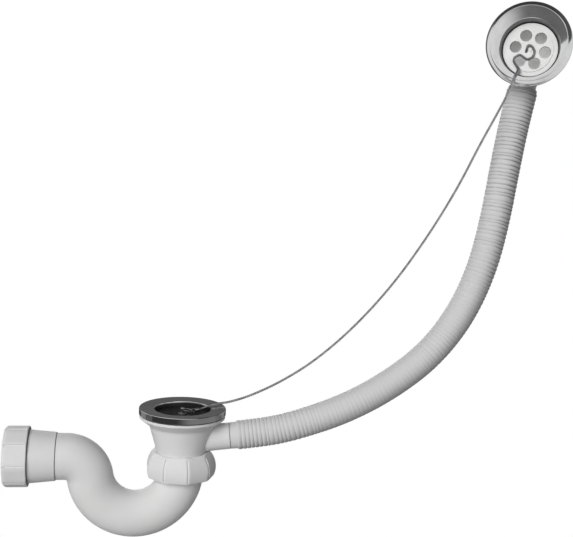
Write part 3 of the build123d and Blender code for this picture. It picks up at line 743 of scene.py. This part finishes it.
finishes = {
    "white_plastic": paintMouldedPlastic(mouldedPlastic),
    "hose_plastic": paintHosePlastic(hosePlastic),
    "strainer_plastic": paintPlain("strainerPlastic", strainerPlastic),
    "slip_plastic": paintPlain("slipPlastic", slipPlastic),
    "chrome": paintTurnedChrome("bezelChrome", bezelChrome),
    "chain_metal": paintNickel("chainNickel", chainNickel),
    "hook_wire": paintNickel("hookWire", hookWire),
    "screw_steel": paintNickel("screwSteel", screwSteel),
    "brass": paintNickel("turnedBrass", turnedBrass),
    "plug_rubber": paintPlain("blackRubber", blackRubber),
    "seal_rubber": paintPlain("sealRubber", sealRubber),
}
for node in nodes.values():
    for holder in node.material_slots:
        holder.material = finishes[holder.material.name]
bezelPiece.data.materials.append(finishes["chrome"])
flangePiece.data.materials.append(paintTurnedChrome("wasteChrome", wasteChrome))
chainPiece.data.materials.append(finishes["chain_metal"])
hosePiece.data.materials.append(finishes["hose_plastic"])
print("finishes set:", len(finishes))


# studio: pale floor, white for the camera, soft lights from the front left and from behind

studio = {
    "floorDrop": 0.004,
    "floorSize": 6.0,
    "floorTone": 0.35,
    "white": 1.0,
    "fill": 0.13,                       # even light on matt surfaces
    "mirror": {                         # what polished metal sees: pale screens round about
        "screens": 0.80, "left": 0.15, "floor": 0.22, "wall": 0.12, "ceiling": 0.05, "right": 0.08},
    "edges": {                          # where the darker parts of the surround begin, by direction
        "aside": (0.45, 0.80), "leftAcross": (-0.40, 0.35), "leftBack": (-0.05, 0.02),
        "leftFoot": (-0.70, -0.63), "leftTop": (0.19, 0.21), "floorDown": (0.50, 0.95),
        "floorBack": (-0.10, 0.25), "wallBack": (0.22, 0.36), "wallLeft": (0.50, 0.70),
        "wallFoot": (-0.60, -0.40), "ceilingUp": (0.50, 0.62), "ceilingBack": (-0.20, -0.10),
        "rightAcross": (0.50, 0.58), "rightUp": (0.24, 0.32)},
    "ceilingSkew": 0.6,
}
lamps = {
    "key": {"place": (-1.41, -2.60, 1.22), "aim": (0.09, 0.0, 0.13), "size": 2.0, "power": 86.0},
    "back": {"place": (-0.20, 2.80, 0.75), "aim": (0.09, 0.0, 0.13), "size": 1.6, "power": 60.0},
}


def makeFloor(spec):
    mesh = bmesh.new()
    bmesh.ops.create_grid(mesh, x_segments=1, y_segments=1, size=spec["floorSize"])
    drop = cadBox[0].z - spec["floorDrop"]
    bmesh.ops.translate(mesh, verts=mesh.verts, vec=(0, 0, drop))
    data = bpy.data.meshes.new("floor")
    mesh.to_mesh(data)
    mesh.free()
    floor = bpy.data.objects.new("floor", data)
    floor.visible_glossy = False
    bpy.context.scene.collection.objects.link(floor)
    material, paint = newPaint("paleFloor")
    seen = paint.add("ShaderNodeLightPath", output="Is Camera Ray")
    tone = spec["floorTone"]
    matte = paint.add("ShaderNodeBsdfDiffuse", sockets={"Color": (tone, tone, tone, 1.0)})
    glow = paint.add("ShaderNodeEmission", sockets={"Strength": spec["white"]})
    mixed = paint.add("ShaderNodeMixShader", sockets={0: seen, 1: matte, 2: glow})
    paint.add("ShaderNodeOutputMaterial", sockets={"Surface": mixed})
    data.materials.append(material)


def makeSurround(spec):
    world = bpy.data.worlds.new("studioWorld")
    world.use_nodes = True
    bpy.context.scene.world = world
    paint = Paint(world.node_tree)
    seen = paint.add("ShaderNodeLightPath", output="Is Camera Ray")
    mirrored = paint.add("ShaderNodeLightPath", output="Is Glossy Ray")
    ray = paint.add("ShaderNodeTexCoord", output="Generated")
    axes = ((1, 0, 0), (0, 1, 0), (0, 0, 1))
    x, y, z = (paint.turn("DOT_PRODUCT", ray, axis, output="Value") for axis in axes)

    def past(value, edge):
        return paint.fade(value, *spec["edges"][edge])

    aside = 1 - past(x, "aside")
    behind = past(y, "wallBack") * aside * (1 - past(0 - x, "wallLeft"))
    low = past(z, "leftFoot") * (1 - past(z, "leftTop"))
    masks = {
        "left": past(0 - x, "leftAcross") * low * (1 - past(y, "leftBack")),
        "floor": past(0 - z, "floorDown") * past(y, "floorBack") * aside,
        "wall": behind * past(z, "wallFoot"),
        "ceiling": past(z, "ceilingUp") * past(y + spec["ceilingSkew"] * x, "ceilingBack"),
        "right": past(x, "rightAcross") * past(z, "rightUp")}
    tones = spec["mirror"]
    mirror = tones["screens"]
    for part, mask in masks.items():
        mirror = mirror * (1 - mask) + tones[part] * mask
    unseen = mirror * mirrored + spec["fill"] * (1 - mirrored)
    sky = paint.add("ShaderNodeBackground", sockets={
        "Color": (1.0, 1.0, 1.0, 1.0), "Strength": unseen * (1 - seen) + spec["white"] * seen})
    paint.add("ShaderNodeOutputWorld", sockets={"Surface": sky})


def makeLamp(name, spec):
    data = bpy.data.lights.new(name, "AREA")
    data.shape = "SQUARE"
    data.size = spec["size"]
    data.energy = spec["power"]
    lamp = bpy.data.objects.new(name, data)
    place = Vector(spec["place"])
    lamp.location = place
    lamp.rotation_euler = (Vector(spec["aim"]) - place).to_track_quat("-Z", "Y").to_euler()
    lamp.visible_camera = False
    lamp.visible_glossy = False
    bpy.context.scene.collection.objects.link(lamp)


makeFloor(studio)
makeSurround(studio)
for lampName, lampSpec in lamps.items():
    makeLamp(lampName, lampSpec)
bpy.context.scene.view_settings.view_transform = "Standard"
print("studio lit:", len(lamps), "lamps")
